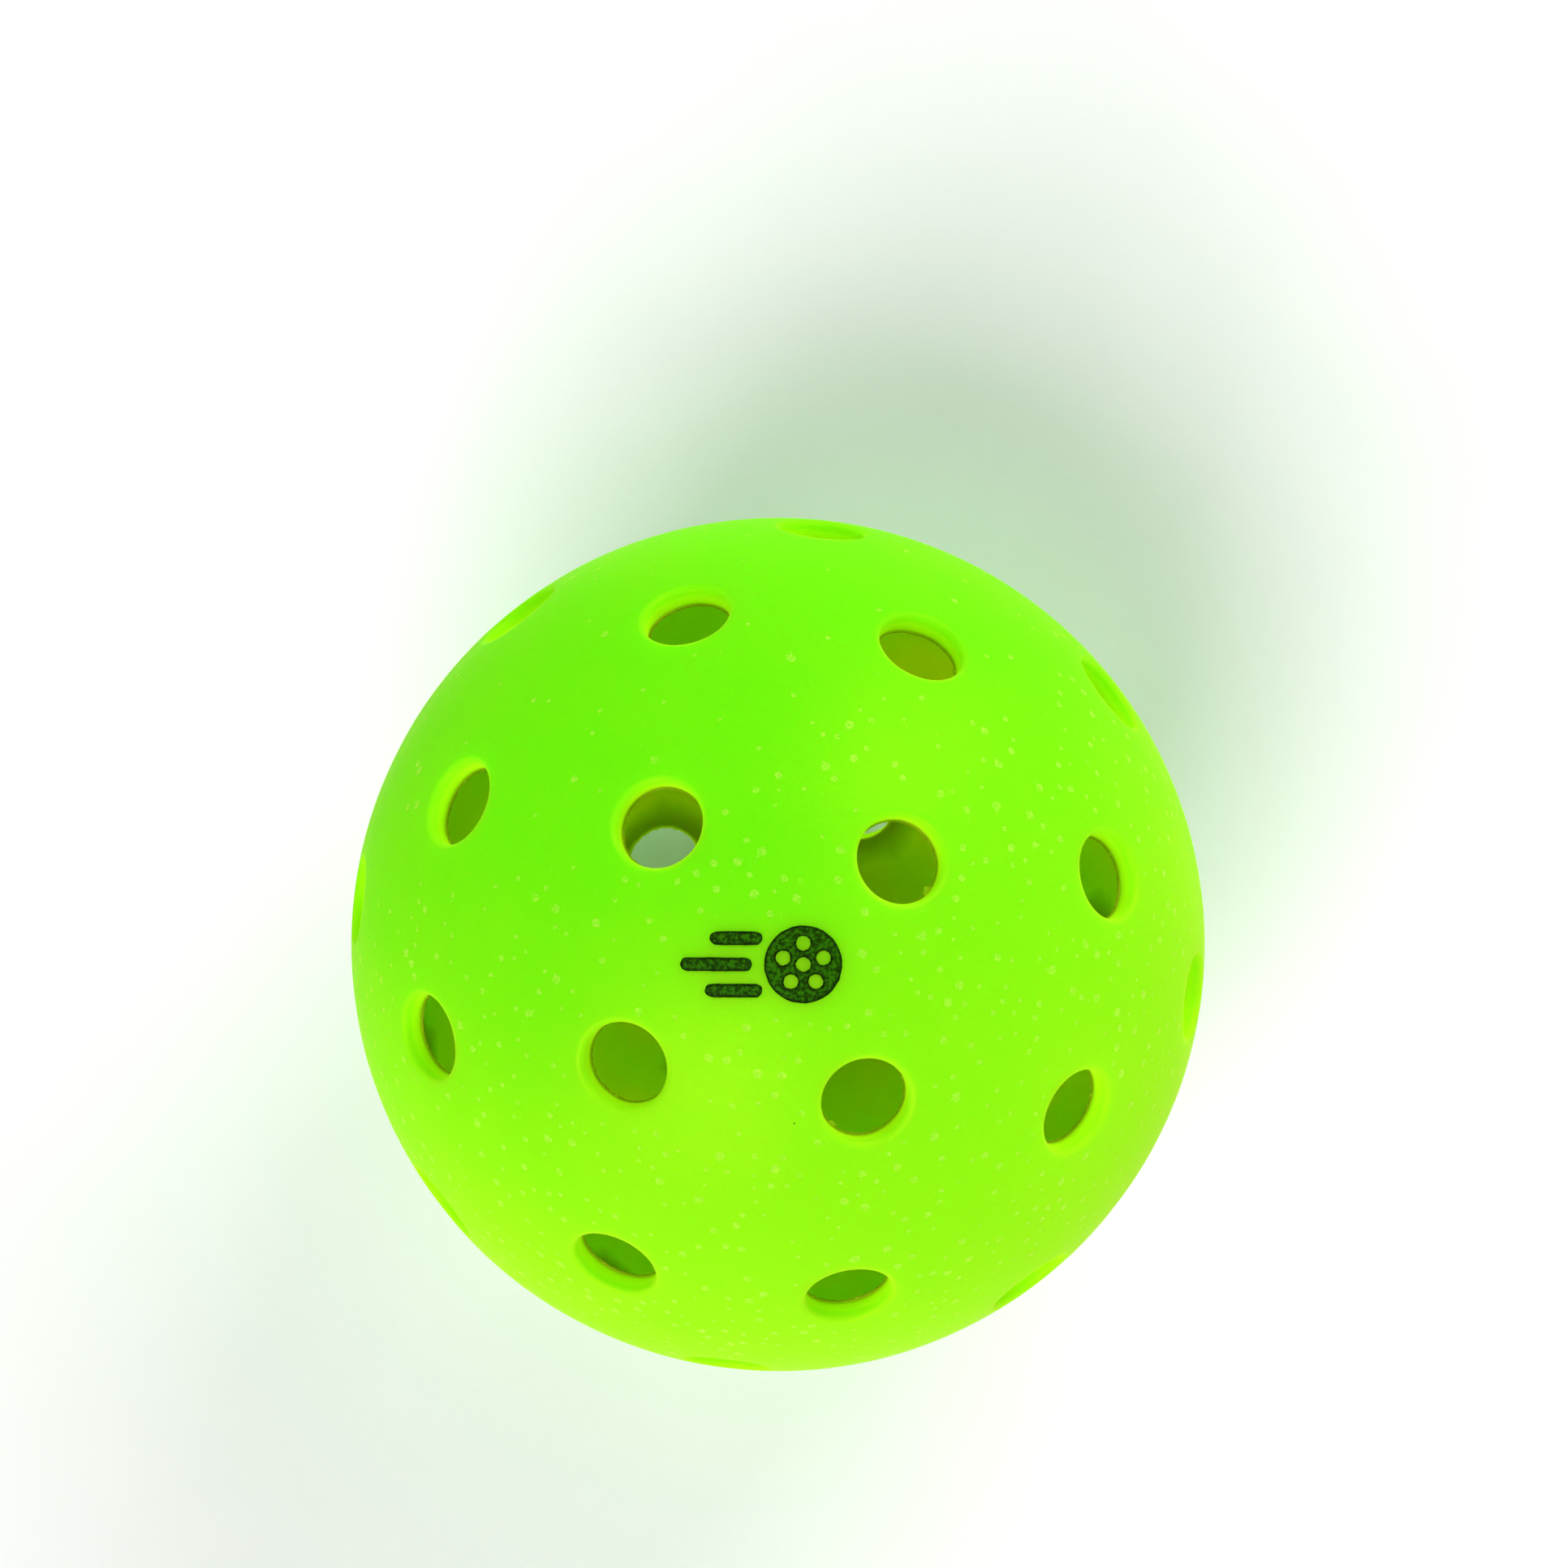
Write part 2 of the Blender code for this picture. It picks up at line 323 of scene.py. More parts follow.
class NodeBoard:
    """A material's nodes, with short ways to add and join them."""

    def __init__(self, name: str) -> None:
        """Starts a material that has only its shader and output.

        Args:
            name: the material's name.
        """
        self.material = bpy.data.materials.new(name)
        self.material.use_nodes = True
        self.tree = self.material.node_tree
        self.surface = self.tree.nodes["Principled BSDF"]
        self.place = self.add("ShaderNodeTexCoord").outputs["Object"]

    def add(self, kind: str, **settings: Any) -> bpy.types.Node:
        """Adds a node.

        Args:
            kind: Blender's name for the node's type.
            **settings: the node's own properties.

        Returns:
            The new node.
        """
        node = self.tree.nodes.new(kind)
        for name, value in settings.items():
            setattr(node, name, value)
        return node

    def feed(self, socket: Socket, source: Any) -> None:
        """Sets a socket to a value, or joins an output to it.

        Args:
            socket: the socket that is fed.
            source: a value, or another node's output.
        """
        if isinstance(source, Socket):
            self.tree.links.new(source, socket)
        else:
            socket.default_value = source

    def dress(self, settings: dict[str, Any]) -> None:
        """Sets or joins the shader's own sockets, each by its name."""
        for name, source in settings.items():
            self.feed(self.surface.inputs[name], source)

    def layer(self, name: str) -> Socket:
        """The number that the mesh keeps at each point under this name."""
        return self.add("ShaderNodeAttribute", attribute_name=name).outputs["Fac"]

    def noise(self, size: float, detail: float = 2.0) -> Socket:
        """Cloudy noise from 0 to 1.

        Args:
            size: how large its blobs are.
            detail: how many finer layers it has.

        Returns:
            The noise's output.
        """
        node = self.add("ShaderNodeTexNoise")
        node.inputs["Scale"].default_value = 1.0 / size
        node.inputs["Detail"].default_value = detail
        self.feed(node.inputs["Vector"], self.place)
        return node.outputs["Fac"]

    def maths(self, kind: str, *terms: Any) -> Socket:
        """One sum on numbers.

        Args:
            kind: Blender's name for the operation.
            *terms: its values or outputs, in order.

        Returns:
            The sum's output.
        """
        node = self.add("ShaderNodeMath", operation=kind)
        for socket, term in zip(node.inputs, terms):
            self.feed(socket, term)
        return node.outputs[0]

    def times(self, one: Any, other: Any) -> Socket:
        """The product of two numbers."""
        return self.maths("MULTIPLY", one, other)

    def ramp(self, source: Socket, low: float, high: float, start: float = 0.0,
             end: float = 1.0) -> Socket:
        """Maps a stretch of a number smoothly to another stretch.

        Args:
            source: the number.
            low: where its stretch starts.
            high: where its stretch ends.
            start: what low becomes.
            end: what high becomes.

        Returns:
            The mapped number's output.
        """
        node = self.add("ShaderNodeMapRange", interpolation_type="SMOOTHSTEP")
        for name, value in (("From Min", low), ("From Max", high), ("To Min", start), ("To Max", end)):
            node.inputs[name].default_value = value
        self.feed(node.inputs["Value"], source)
        return node.outputs["Result"]

    def mix(self, share: Any, one: Any, other: Any) -> Socket:
        """Mixes two colours.

        Args:
            share: how much of the other colour, from 0 to 1.
            one: the colour at 0.
            other: the colour at 1.

        Returns:
            The mixed colour's output.
        """
        node = self.add("ShaderNodeMix", data_type="RGBA")
        self.feed(node.inputs["Factor"], share)
        colours = [socket for socket in node.inputs if socket.type == "RGBA"]
        self.feed(colours[0], one)
        self.feed(colours[1], other)
        return next(socket for socket in node.outputs if socket.type == "RGBA")

    def scatter(self, dots: Dots) -> Socket:
        """Scattered soft dots.

        Args:
            dots: how large and how many they are.

        Returns:
            How much of a dot each place is.
        """
        cells = self.add("ShaderNodeTexVoronoi")
        cells.inputs["Scale"].default_value = 1.0 / dots.spacing
        self.feed(cells.inputs["Vector"], self.place)
        reach = dots.radius / dots.spacing
        near = self.ramp(cells.outputs["Distance"], 0.4 * reach, reach, 1.0, 0.0)
        lots = self.add("ShaderNodeSeparateColor")
        self.feed(lots.inputs[0], cells.outputs["Color"])
        chosen = self.maths("LESS_THAN", lots.outputs[0], dots.share)
        return self.times(self.times(near, chosen), dots.strength)

    def bump(self, height: Any, distance: float, below: Any = None) -> Socket:
        """Turns a height into a tilt of the surface.

        Args:
            height: the height, as a number about 0 to 1.
            distance: how far a height of 1 stands up.
            below: another bump that this one lies on, if there is one.

        Returns:
            The tilted normal's output.
        """
        node = self.add("ShaderNodeBump")
        node.inputs["Strength"].default_value = 1.0
        node.inputs["Distance"].default_value = distance
        self.feed(node.inputs["Height"], height)
        if below is not None:
            self.feed(node.inputs["Normal"], below)
        return node.outputs["Normal"]


@dataclass(frozen=True)
class MouldedPlastic:
    """Fluorescent yellow-green polyethylene that lets a little light through.

    The points of a mesh may say where pits, drilled walls and the inside are.
    """

    name: str = "shell_plastic"
    # green and yellow are the ends of a painted light gradient: green on the shaded side, yellow on the lit
    # side.
    green: Colour = rgb(0.130, 0.95, 0.003)
    yellow: Colour = rgb(0.275, 0.96, 0.006)
    pale: Colour = rgb(0.52, 0.99, 0.09)
    dark: Colour = rgb(0.02, 0.20, 0.01)
    # Painted shade at the holes' inner edges and round them on the inside.
    painted_hole_shade: Colour = rgb(0.025, 0.035, 0.0)
    inside_green: Colour = rgb(0.50, 0.96, 0.004)
    inside_olive: Colour = rgb(0.80, 0.95, 0.004)
    # Paler colour on the drilled walls: painted light, for light that shines through the thin plastic there.
    painted_bore_light: Colour = rgb(0.36, 0.98, 0.005)
    # The colour of the painted glow on the drilled walls; the plastic is no lamp.
    painted_bore_glow: Colour = rgb(0.130, 0.31, 0.0)
    painted_bore_light_share: float = 0.8
    hole_shade_share: float = 0.9
    bubbles: Dots = Dots(1.25 * MM, 0.15 * MM, share=0.40, strength=0.25)
    specks: Dots = Dots(9.0 * MM, 0.13 * MM, share=0.35, strength=0.8)
    pit_crumb: float = 0.22 * MM
    pit_cover: tuple[float, float] = (0.15, 0.80)
    patch_size: float = 22.0 * MM
    # The direction and stretch of the painted light gradient, yellower towards the lit side.
    painted_light_towards: Triple = (0.35, -0.94, 0.0)
    painted_light_span: tuple[float, float] = (-30.0 * MM, 22.0 * MM)
    drift_cloud: float = 16.0 * MM
    drift_unevenness: float = 0.12
    roughness: float = 0.44
    rougher_inside: float = 0.15
    grain_of_gloss: float = 0.5 * MM
    gloss_level: float = 0.005
    gloss_tint: Colour = rgb(88.0, 56.0, 2.4)
    sheen_weight: float = 0.12
    sheen_roughness: float = 0.3
    sheen_tint: Colour = rgb(0.5, 0.22, 0.0)
    light_reach: Triple = (1.0, 1.6, 0.4)
    light_scale: float = 2.4 * MM
    peel_size: float = 0.85 * MM
    peel_height: float = 0.045 * MM
    grain_size: float = 0.17 * MM
    grain_height: float = 0.006 * MM
    drill_pitch: float = 0.24 * MM
    drill_height: float = 0.008 * MM

    def make(self) -> bpy.types.Material:
        """Makes the material.

        Returns:
            The plastic.
        """
        board = NodeBoard(self.name)
        settings = {
            "Base Color": self._colour(board),
            # The emission is a painted glow, not a lamp.
            "Emission Color": self._painted_glow(board),
            "Emission Strength": 1.0,
            "Roughness": self._roughness(board),
            "Normal": self._relief(board),
            "Specular IOR Level": self.gloss_level,
            "Specular Tint": self.gloss_tint,
            "Sheen Weight": self.sheen_weight,
            "Sheen Roughness": self.sheen_roughness,
            "Sheen Tint": self.sheen_tint,
            "Subsurface Weight": 1.0,
            "Subsurface Radius": self.light_reach,
            "Subsurface Scale": self.light_scale,
        }
        board.dress(settings)
        return board.material

    def _colour(self, board: NodeBoard) -> Socket:
        """The colour: painted light from shaded green to lit yellow, pale bubbles, pits paled partly as
        painted highlights, dark specks, painted light on the drilled walls, the duller inside and
        painted shade at the holes' inner edges.

        Args:
            board: the material's nodes.

        Returns:
            The colour's output.
        """
        # Painted light: greener towards the shaded side, yellower towards the lit side.
        colour = board.mix(self._painted_light_and_drift(board), self.green, self.yellow)
        colour = board.mix(board.scatter(self.bubbles), colour, self.pale)
        broken = board.ramp(board.noise(self.pit_crumb), 0.35, 0.62, *self.pit_cover)
        # Pits are paled: partly pale plastic, partly a painted highlight on their raised lips.
        colour = board.mix(board.times(board.layer("pit"), broken), colour, self.pale)
        colour = board.mix(board.scatter(self.specks), colour, self.dark)
        # Painted light: the drilled walls, their fillets and the seam are paler.
        colour = board.mix(board.times(board.layer("bore"), self.painted_bore_light_share), colour, self.painted_bore_light)
        patches = board.ramp(board.noise(self.patch_size), 0.35, 0.65)
        inside = board.mix(patches, self.inside_green, self.inside_olive)
        colour = board.mix(board.layer("inner"), colour, inside)
        # Painted shade at the holes' inner edges, just behind them and round them on the inside.
        return board.mix(board.times(board.layer("edge"), self.hole_shade_share), colour, self.painted_hole_shade)

    def _painted_light_and_drift(self, board: NodeBoard) -> Socket:
        """A painted light gradient: green towards the ball's shaded side, yellow towards its lit side, made a
        little uneven by the pigment's random drift.

        Args:
            board: the material's nodes.

        Returns:
            How yellow the colour is: painted light, with the pigment's random unevenness.
        """
        place = board.add("ShaderNodeVectorMath", operation="DOT_PRODUCT")
        board.feed(place.inputs[0], board.place)
        place.inputs[1].default_value = self.painted_light_towards
        along = board.ramp(place.outputs["Value"], *self.painted_light_span)
        either_way = (-self.drift_unevenness, self.drift_unevenness)
        uneven = board.ramp(board.noise(self.drift_cloud, 3.0), 0.3, 0.7, *either_way)
        return board.maths("ADD", along, uneven)

    def _painted_glow(self, board: NodeBoard) -> Socket:
        """A painted glow on the drilled walls, the fillets and the seam, where there is no painted shade."""
        painted_bore_light = board.times(board.layer("bore"), board.maths("SUBTRACT", 1.0, board.layer("edge")))
        return board.mix(painted_bore_light, rgb(0.0, 0.0, 0.0), self.painted_bore_glow)

    def _roughness(self, board: NodeBoard) -> Socket:
        """Satin outside, with a fine grain, and a duller inside.

        Args:
            board: the material's nodes.

        Returns:
            The roughness's output.
        """
        low, high = self.roughness - 0.05, self.roughness + 0.05
        grain = board.ramp(board.noise(self.grain_of_gloss), 0.3, 0.7, low, high)
        return board.maths("MULTIPLY_ADD", board.layer("inner"), self.rougher_inside, grain)

    def _relief(self, board: NodeBoard) -> Socket:
        """Orange peel and fine grain everywhere, and the drill's rings on the holes' walls.

        Args:
            board: the material's nodes.

        Returns:
            The tilted normal's output.
        """
        peel = board.bump(board.noise(self.peel_size), self.peel_height)
        grain = board.bump(board.noise(self.grain_size, 1.0), self.grain_height, below=peel)
        turns = board.maths("SINE", board.times(board.layer("depth"), WHOLE_TURN / self.drill_pitch))
        return board.bump(board.times(turns, board.layer("bore")), self.drill_height, below=grain)


@dataclass(frozen=True)
class PrintingInk:
    """Thin dark green ink, mottled, and darker along its edge."""

    name: str = "dark_green_ink"
    thin: Colour = rgb(0.026, 0.155, 0.0005)
    full: Colour = rgb(0.008, 0.040, 0.0)
    outline: Colour = rgb(0.006, 0.015, 0.0)
    mottle_size: float = 0.30 * MM
    roughness: tuple[float, float] = (0.42, 0.56)
    gloss_level: float = 0.03
    ripple_size: float = 0.25 * MM
    ripple_height: float = 0.012 * MM

    def make(self) -> bpy.types.Material:
        """Makes the material.

        Returns:
            The ink.
        """
        board = NodeBoard(self.name)
        mottle = board.ramp(board.noise(self.mottle_size, 4.0), 0.38, 0.60)
        colour = board.mix(mottle, self.thin, self.full)
        board.dress({
            "Base Color": board.mix(board.layer("edge"), colour, self.outline),
            "Roughness": board.ramp(board.noise(self.mottle_size), 0.3, 0.7, *self.roughness),
            "Normal": board.bump(board.noise(self.ripple_size), self.ripple_height),
            "Specular IOR Level": self.gloss_level,
        })
        return board.material


@dataclass(frozen=True)
class StudioPaper:
    """Pale, matt floor paper with a barely visible tooth."""

    name: str = "studio_paper"
    tone: float = 0.93
    unevenness: float = 0.01
    cloud_size: float = 30.0 * MM
    tooth_size: float = 1.2 * MM
    tooth_height: float = 0.02 * MM
    roughness: float = 0.85
    gloss_level: float = 0.1

    def make(self) -> bpy.types.Material:
        """Makes the material.

        Returns:
            The paper.
        """
        board = NodeBoard(self.name)
        low, high = self.tone - self.unevenness, self.tone + self.unevenness
        shade = board.ramp(board.noise(self.cloud_size), 0.3, 0.7)
        board.dress({
            "Base Color": board.mix(shade, rgb(low, low, low), rgb(high, high, high)),
            "Normal": board.bump(board.noise(self.tooth_size), self.tooth_height),
            "Roughness": self.roughness,
            "Specular IOR Level": self.gloss_level,
        })
        return board.material


# ---------------------------------------------------------------- the shells
@dataclass(frozen=True)
class ShellSizes:
    """What both half shells share. The radius, the rim and the lap come from the frame."""

    radius: float
    rim: float
    lap_height: float
    wall: float = 1.85 * MM
    lap_clearance: float = 0.3 * MM

    @classmethod
    def from_frame(cls) -> "ShellSizes":
        """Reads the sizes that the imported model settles.

        Returns:
            The sizes.
        """
        low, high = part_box(Half.UPPER.value)
        below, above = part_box(Half.LOWER.value)
        return cls(radius=high.z, rim=-above.z, lap_height=-low.z)

    @property
    def inner_radius(self) -> float:
        """The radius of the ball's inside."""
        return self.radius - self.wall

    @property
    def mid_radius(self) -> float:
        """The radius of the middle of the wall."""
        return self.radius - self.wall / 2.0


@dataclass(frozen=True)
class HolePattern:
    """Where the holes are drilled, in degrees from the pole and round the axis."""

    square_turn: float = 36.8
    holes_per_family: int = 4
    families: tuple[tuple[float, float], ...] = (
        (22.3, 0.0),
        (51.9, -23.3),
        (50.9, 26.7),
        (77.5, 0.6),
        (77.5, 46.7),
    )
    turn_over_axis: float = 13.0

    def axes(self) -> np.ndarray:
        """The holes' directions about +Z.

        Returns:
            One unit vector to a row, family after family.
        """
        found = []
        for from_pole, offset in self.families:
            for place in range(self.holes_per_family):
                turn = math.radians(self.square_turn + offset + 360.0 * place / self.holes_per_family)
                polar = math.radians(from_pole)
                across = math.sin(polar)
                found.append((across * math.cos(turn), across * math.sin(turn), math.cos(polar)))
        return np.array(found)

    def turned_over(self) -> Matrix:
        """The half turn that lays the upper half's pattern over the lower half."""
        turn = math.radians(self.square_turn + self.turn_over_axis)
        return Matrix.Rotation(math.pi, 4, Vector((math.cos(turn), math.sin(turn), 0.0)))


@dataclass(frozen=True)
class Flake:
    """A curl that the drill left on a hole's inner edge.

    Args:
        hole: the hole's number in the pattern.
        turn: where on its edge, in degrees from its +X side.
        reach: how far it stands into the hole.
        spread: half of its width, in degrees.
    """

    hole: int
    turn: float
    reach: float = 0.42 * MM
    spread: float = 9.0


@dataclass
class DrilledHole:
    """One hole: a rounded outer edge, a drilled wall and a ragged inner edge.

    Args:
        axis: the hole's direction from the ball's centre.
        sizes: the shells' sizes.
        draw: the source of random numbers.
        flakes: the curls on its inner edge.
        foot: how far past the hole's wall the inside's skin starts.
        nick_reach: the least and the most that a nick adds to the lip.
        lip_shade_ends: the burr reach past which the lip has no painted shade.
        lip_shade_fades: the stretch before that, over which the painted shade fades.
        wall_rings: how deep each ring of the wall lies, as a share of it, and how much painted shade it has.
    """

    axis: np.ndarray
    sizes: ShellSizes
    draw: np.random.Generator
    flakes: tuple[Flake, ...] = ()
    radius: float = 3.6 * MM
    edge_round: float = 0.5 * MM
    round_steps: int = 5
    points_round: int = 96
    foot: float = 0.30 * MM
    wander_waves: tuple[int, ...] = (2, 3, 4, 6)
    wander_height: float = 0.022 * MM
    burr_least: float = 0.125 * MM
    burr_spread: float = 0.030 * MM
    nick_share: float = 0.05
    nick_reach: tuple[float, float] = (0.04 * MM, 0.13 * MM)
    # Where the inner lip gets painted shade: where its burr stands out little.
    lip_shade_ends: float = 0.338 * MM
    lip_shade_fades: float = 0.13 * MM
    lip_drop: float = 0.02 * MM
    lip_slope: float = 0.30
    lip_thickness: float = 0.05 * MM
    back_drop: float = 0.06 * MM
    back_slope: float = 0.35
    heel: float = 0.14 * MM
    wall_rings: tuple[tuple[float, float], ...] = ((0.35, 0.0), (0.75, 0.0), (0.95, 0.6))
    # Painted shade on the inside, just behind the lip.
    behind_lip_shade: float = 0.7

    def __post_init__(self) -> None:
        """Settles the hole's own directions and the wander of its edge."""
        side = np.array((1.0, 0.0, 0.0)) if abs(self.axis[0]) < 0.9 else np.array((0.0, 1.0, 0.0))
        self.right = unit(side - (side @ self.axis) * self.axis)
        self.up = np.cross(self.axis, self.right)
        self.turns = even_turns(self.points_round)
        self.mouth = self.radius + self.edge_round
        self.centre_height = math.sqrt((self.sizes.radius - self.edge_round) ** 2 - self.mouth**2)
        self.lean = math.atan2(self.mouth, self.centre_height)
        self.rim_radius = self.mouth + self.edge_round * math.sin(self.lean)
        self.wander = self._wander()
        self.burr = self._burr()

    def _wander(self) -> np.ndarray:
        """The smooth wander of the edge.

        Returns:
            How far the edge lies outwards, at each of its points.
        """
        total = np.zeros(self.points_round)
        for waves in self.wander_waves:
            total += np.sin(waves * self.turns + self.draw.uniform(0.0, WHOLE_TURN)) / math.sqrt(waves)
        return total * self.wander_height

    def _burr(self) -> np.ndarray:
        """The ragged lip, with its nicks and flakes.

        Returns:
            How far the lip stands into the hole, at each point of the edge.
        """
        reach = np.abs(self.draw.normal(0.0, self.burr_spread, self.points_round)) + self.burr_least
        nicks = self.draw.uniform(size=self.points_round) < self.nick_share
        reach += nicks * self.draw.uniform(*self.nick_reach, self.points_round)
        for flake in self.flakes:
            apart = np.degrees(np.angle(np.exp(1j * (self.turns - math.radians(flake.turn)))))
            shape = np.clip(1.0 - (apart / flake.spread) ** 2, 0.0, 1.0)
            reach += flake.reach * shape * self.draw.uniform(0.55, 1.1, self.points_round)
        return reach

    def ring(self, reach: Any, height: Any, turns: np.ndarray | None = None) -> np.ndarray:
        """Points round the hole's axis.

        Args:
            reach: their distance from the axis, for all or for each.
            height: their distance along the axis, for all or for each.
            turns: their angles, or the edge's own.

        Returns:
            One point to a row.
        """
        angles = self.turns if turns is None else turns
        reach = np.zeros(len(angles)) + reach
        height = np.zeros(len(angles)) + height
        spokes = np.outer(np.cos(angles), self.right) + np.outer(np.sin(angles), self.up)
        return spokes * reach[:, None] + np.outer(height, self.axis)

    def loop(self, reach: float, every: int = 1, radius: float | None = None) -> np.ndarray:
        """Directions on the circle that lies this far from the hole's axis.

        Args:
            reach: the circle's radius.
            every: how many of the hole's own points there are to one of the circle's.
            radius: the radius of the sphere that it lies on, or None for the ball's outside.

        Returns:
            One unit vector to a row.
        """
        sphere = self.sizes.radius if radius is None else radius
        return unit(self.ring(reach, math.sqrt(sphere**2 - reach**2), even_turns(self.points_round // every)))

    def line(self, book: MeshBook, outside: np.ndarray, inside: np.ndarray) -> None:
        """Adds the hole's lining between its two loops.

        Args:
            book: the mesh that it goes into.
            outside: the indices of the loop on the outside.
            inside: the indices of the loop on the inside.
        """
        rings = [outside]
        for step in range(1, self.round_steps + 1):
            turn = self.lean - (self.lean + math.pi / 2.0) * step / self.round_steps
            reach = self.mouth + self.edge_round * math.sin(turn)
            height = self.centre_height + self.edge_round * math.cos(turn)
            share = step / self.round_steps
            # The bore layer brings painted light and a painted glow onto the fillet and the wall.
            rings.append(book.add(self.ring(reach + 0.2 * share * self.wander, height), bore=0.5 * share))
        end = math.sqrt(self.sizes.inner_radius**2 - self.radius**2)
        deep = self.centre_height - end
        for share, hole_shade in self.wall_rings:
            wall = self.ring(self.radius + share * self.wander, self.centre_height - share * deep)
            rings.append(book.add(wall, bore=1.0, depth=share * deep, edge=hole_shade))
        reach = self.radius + self.wander - self.burr
        # The edge layer carries painted shade at the inner lip and just behind it.
        hole_shade = np.clip((self.lip_shade_ends - self.burr) / self.lip_shade_fades, 0.0, 1.0)
        lip = self.ring(reach, end - self.lip_drop - self.lip_slope * self.burr)
        back_height = end - self.back_drop - self.back_slope * self.burr
        back = self.ring(reach + self.lip_thickness, back_height)
        heel = self.ring(self.radius + self.heel + self.wander, end - self.lip_drop)
        rings.append(book.add(lip, bore=0.3, depth=deep, edge=hole_shade))
        rings.append(book.add(back, inner=0.6, edge=self.behind_lip_shade))
        rings.append(book.add(heel, inner=1.0, edge=self.behind_lip_shade))
        book.sleeve(rings + [inside])


@dataclass(frozen=True)
class PitField:
    """Small round pits that burst bubbles left in the outer skin.

    Args:
        tries: how many places are tried.
        apart: the least distance between two pits' middles.
        thin_side: a direction that fewer pits face, or None where they are even.
        keep_clear: half the sides of the patch at the pole that stays free of them.
        ring_reaches: the radii of a middling pit's rings: its floor, its lip and its foot.
        ring_falls: how deep each ring lies, as a share of the pit's depth.
        ring_marks: how pale each ring is, partly pale plastic and partly a painted highlight, brightest on
            the raised lip.
    """

    tries: int
    apart: float = 1.15 * MM
    thin_side: Triple | None = None
    keep_clear: tuple[float, float] = (0.0, 0.0)
    spoke_count: int = 7
    ring_reaches: tuple[float, ...] = (0.14 * MM, 0.24 * MM, 0.36 * MM)
    ring_falls: tuple[float, ...] = (0.70, -0.25, 0.0)
    ring_marks: tuple[float, ...] = (0.75, 1.0, 0.0)
    middle_mark: float = 0.55
    depth: tuple[float, float] = (0.018 * MM, 0.050 * MM)
    ring_jitter: tuple[float, float] = (0.88, 1.12)
    clear_of_rim: float = 1.2 * MM

    def middles(self, draw: np.random.Generator, sizes: ShellSizes, axes: np.ndarray,
                clear_of_hole: float) -> np.ndarray:
        """Chooses where the pits lie.

        Args:
            draw: the source of random numbers.
            sizes: the shell's sizes.
            axes: the holes' directions.
            clear_of_hole: how far from a hole's axis the skin is free for them.

        Returns:
            One direction to a row.
        """
        spots = unit(draw.normal(size=(self.tries, 3)))
        spots[:, 2] = np.abs(spots[:, 2])
        lots = draw.uniform(size=self.tries)
        fits = spots[:, 2] * sizes.radius > self.clear_of_rim
        fits &= (spots @ axes.T).max(axis=1) < math.cos(clear_of_hole / sizes.radius)
        wide, tall = self.keep_clear
        on_mark = (np.abs(spots[:, 0]) * sizes.radius < wide) & (np.abs(spots[:, 1]) * sizes.radius < tall)
        fits &= ~on_mark
        if self.thin_side is not None:
            facing = spots @ unit(np.array(self.thin_side))
            fits &= lots < 0.10 + 0.90 * (1.0 - smooth_step(facing, -0.05, 0.55))
        chosen: list[np.ndarray] = []
        nearest = math.cos(self.apart / sizes.radius)
        for spot in spots[fits]:
            if not chosen or (np.array(chosen) @ spot).max() < nearest:
                chosen.append(spot)
        return np.array(chosen)

    def points(self, draw: np.random.Generator, middles: np.ndarray,
               radius: float) -> tuple[np.ndarray, np.ndarray, np.ndarray]:
        """The points of every pit.

        Args:
            draw: the source of random numbers.
            middles: the pits' directions.
            radius: the ball's radius.

        Returns:
            The directions, how far each lies below the skin, and how much of a pit each is.
        """
        count = len(middles)
        sizes = 0.55 + 0.75 * draw.uniform(size=count) ** 1.6
        depths = draw.uniform(*self.depth, count)
        side = unit(np.cross(middles, np.array((0.31, 0.72, 0.62))))
        other = np.cross(middles, side)
        towards, falls, marks = [middles], [depths], [np.full(count, self.middle_mark)]
        rings = zip(self.ring_reaches, self.ring_falls, self.ring_marks)
        for number, (reach, fall, mark) in enumerate(rings):
            for spoke in range(self.spoke_count):
                turn = WHOLE_TURN * (spoke + 0.5 * (number % 2)) / self.spoke_count
                uneven = reach * sizes * draw.uniform(*self.ring_jitter, count)
                push = (math.cos(turn) * side + math.sin(turn) * other) * (uneven / radius)[:, None]
                towards.append(unit(middles + push))
                falls.append(depths * fall)
                marks.append(np.full(count, mark))
        return np.concatenate(towards), np.concatenate(falls), np.concatenate(marks)


